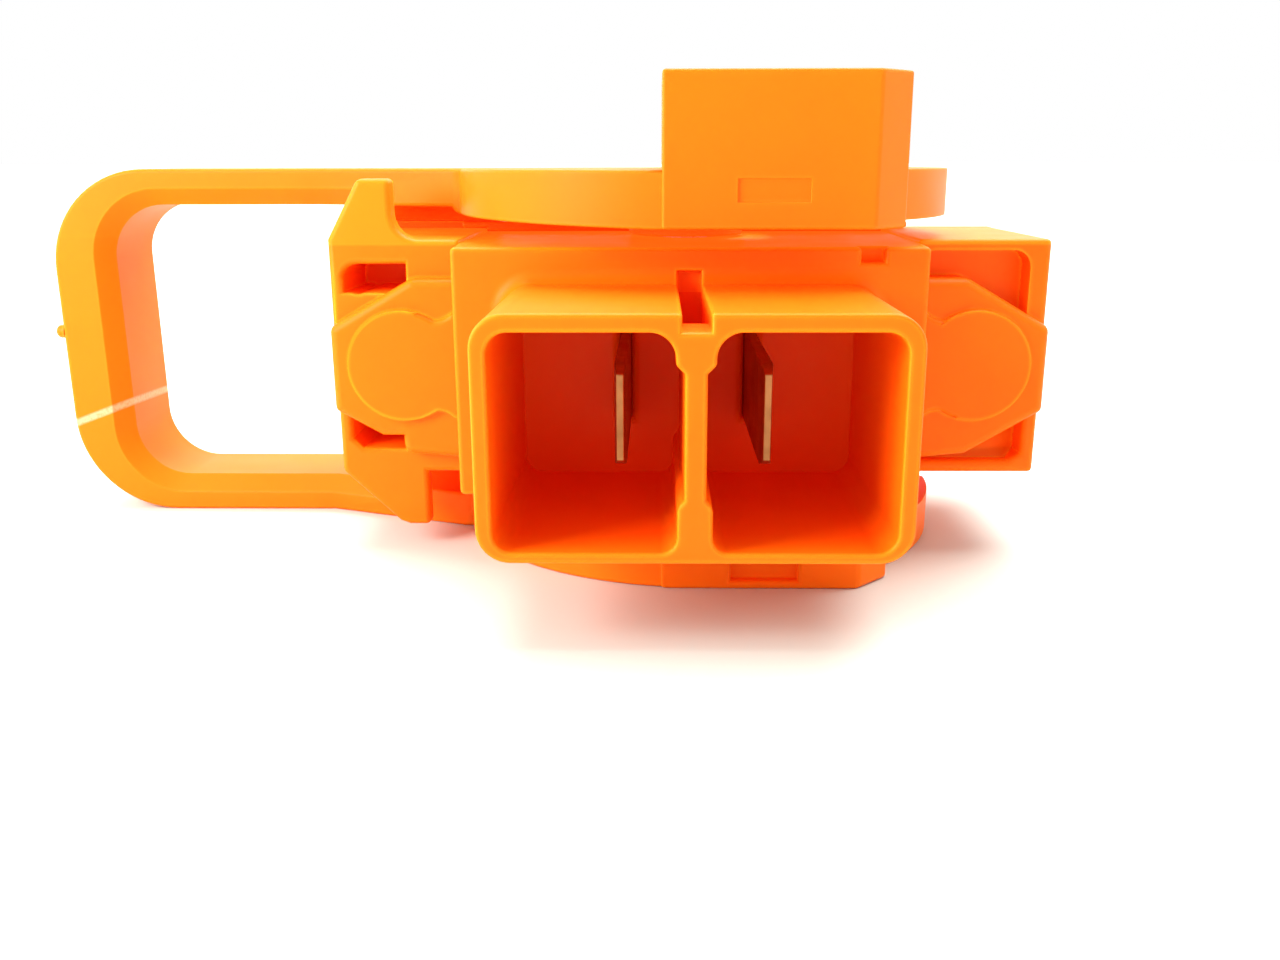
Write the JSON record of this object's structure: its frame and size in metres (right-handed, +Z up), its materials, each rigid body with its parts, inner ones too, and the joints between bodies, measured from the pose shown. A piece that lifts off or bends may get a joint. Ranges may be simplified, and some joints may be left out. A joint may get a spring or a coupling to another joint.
{
  "type": "service plug of a battery disconnect switch",
  "caption": "Orange high-voltage service plug with a deep blade hood, a built-in fuse and a U-shaped lever that swings and slides to lock.",
  "frame": {"origin": "middle of the mating face, on the wall between the two sockets at the hood's rim", "axes": "+X along the lever away from its grip, +Y from the mating face towards the cover, +Z up from the lower arm that the plug lies on"},
  "size_m": [0.1441, 0.0708, 0.0632],
  "materials": {
    "housing_plastic": "moulded orange polyester, satin gloss",
    "lever_plastic": "moulded orange polyester, satin gloss",
    "cover_plastic": "moulded orange polyester, satin gloss",
    "bush_plastic": "orange acetal, dull sheen",
    "holder_plastic": "moulded black nylon",
    "copper": "stamped copper alloy, bare",
    "contact_brass": "stamped brass",
    "plated_steel": "zinc plated",
    "tinned_cap": "tin plated",
    "fuse_ceramic": "unglazed white ceramic",
    "fuse_strip": "silvered strip"
  },
  "bodies": {
    "plug": {"plug_housing": "housing_plastic", "fuse_cover": "cover_plastic", "cover_screws": "plated_steel", "left_busbar": "copper", "right_busbar": "copper", "fuse_tube": "fuse_ceramic", "fuse_element": "fuse_strip", "left_fuse_cap": "tinned_cap", "right_fuse_cap": "tinned_cap", "left_bolt": "plated_steel", "right_bolt": "plated_steel", "left_washer": "plated_steel", "right_washer": "plated_steel", "left_nut": "plated_steel", "right_nut": "plated_steel", "pivot_pins": "plated_steel"},
    "slide_blocks": {"pivot_bush_top": "bush_plastic", "pivot_bush_bottom": "bush_plastic"},
    "lever": {"lever": "lever_plastic", "interlock_holder": "holder_plastic", "interlock_terminal": "contact_brass"}
  },
  "joints": [
    {"name": "lever_swing", "type": "hinge", "parent": "plug", "child": "slide_blocks", "pos_m": [0, 0.054, 0], "axis": [0, 0, -1], "range_deg": [0, 90]},
    {"name": "lever_slide", "type": "slide", "parent": "slide_blocks", "child": "lever", "axis": [-1, 0, 0], "range_m": [0, 0.005]}
  ]
}
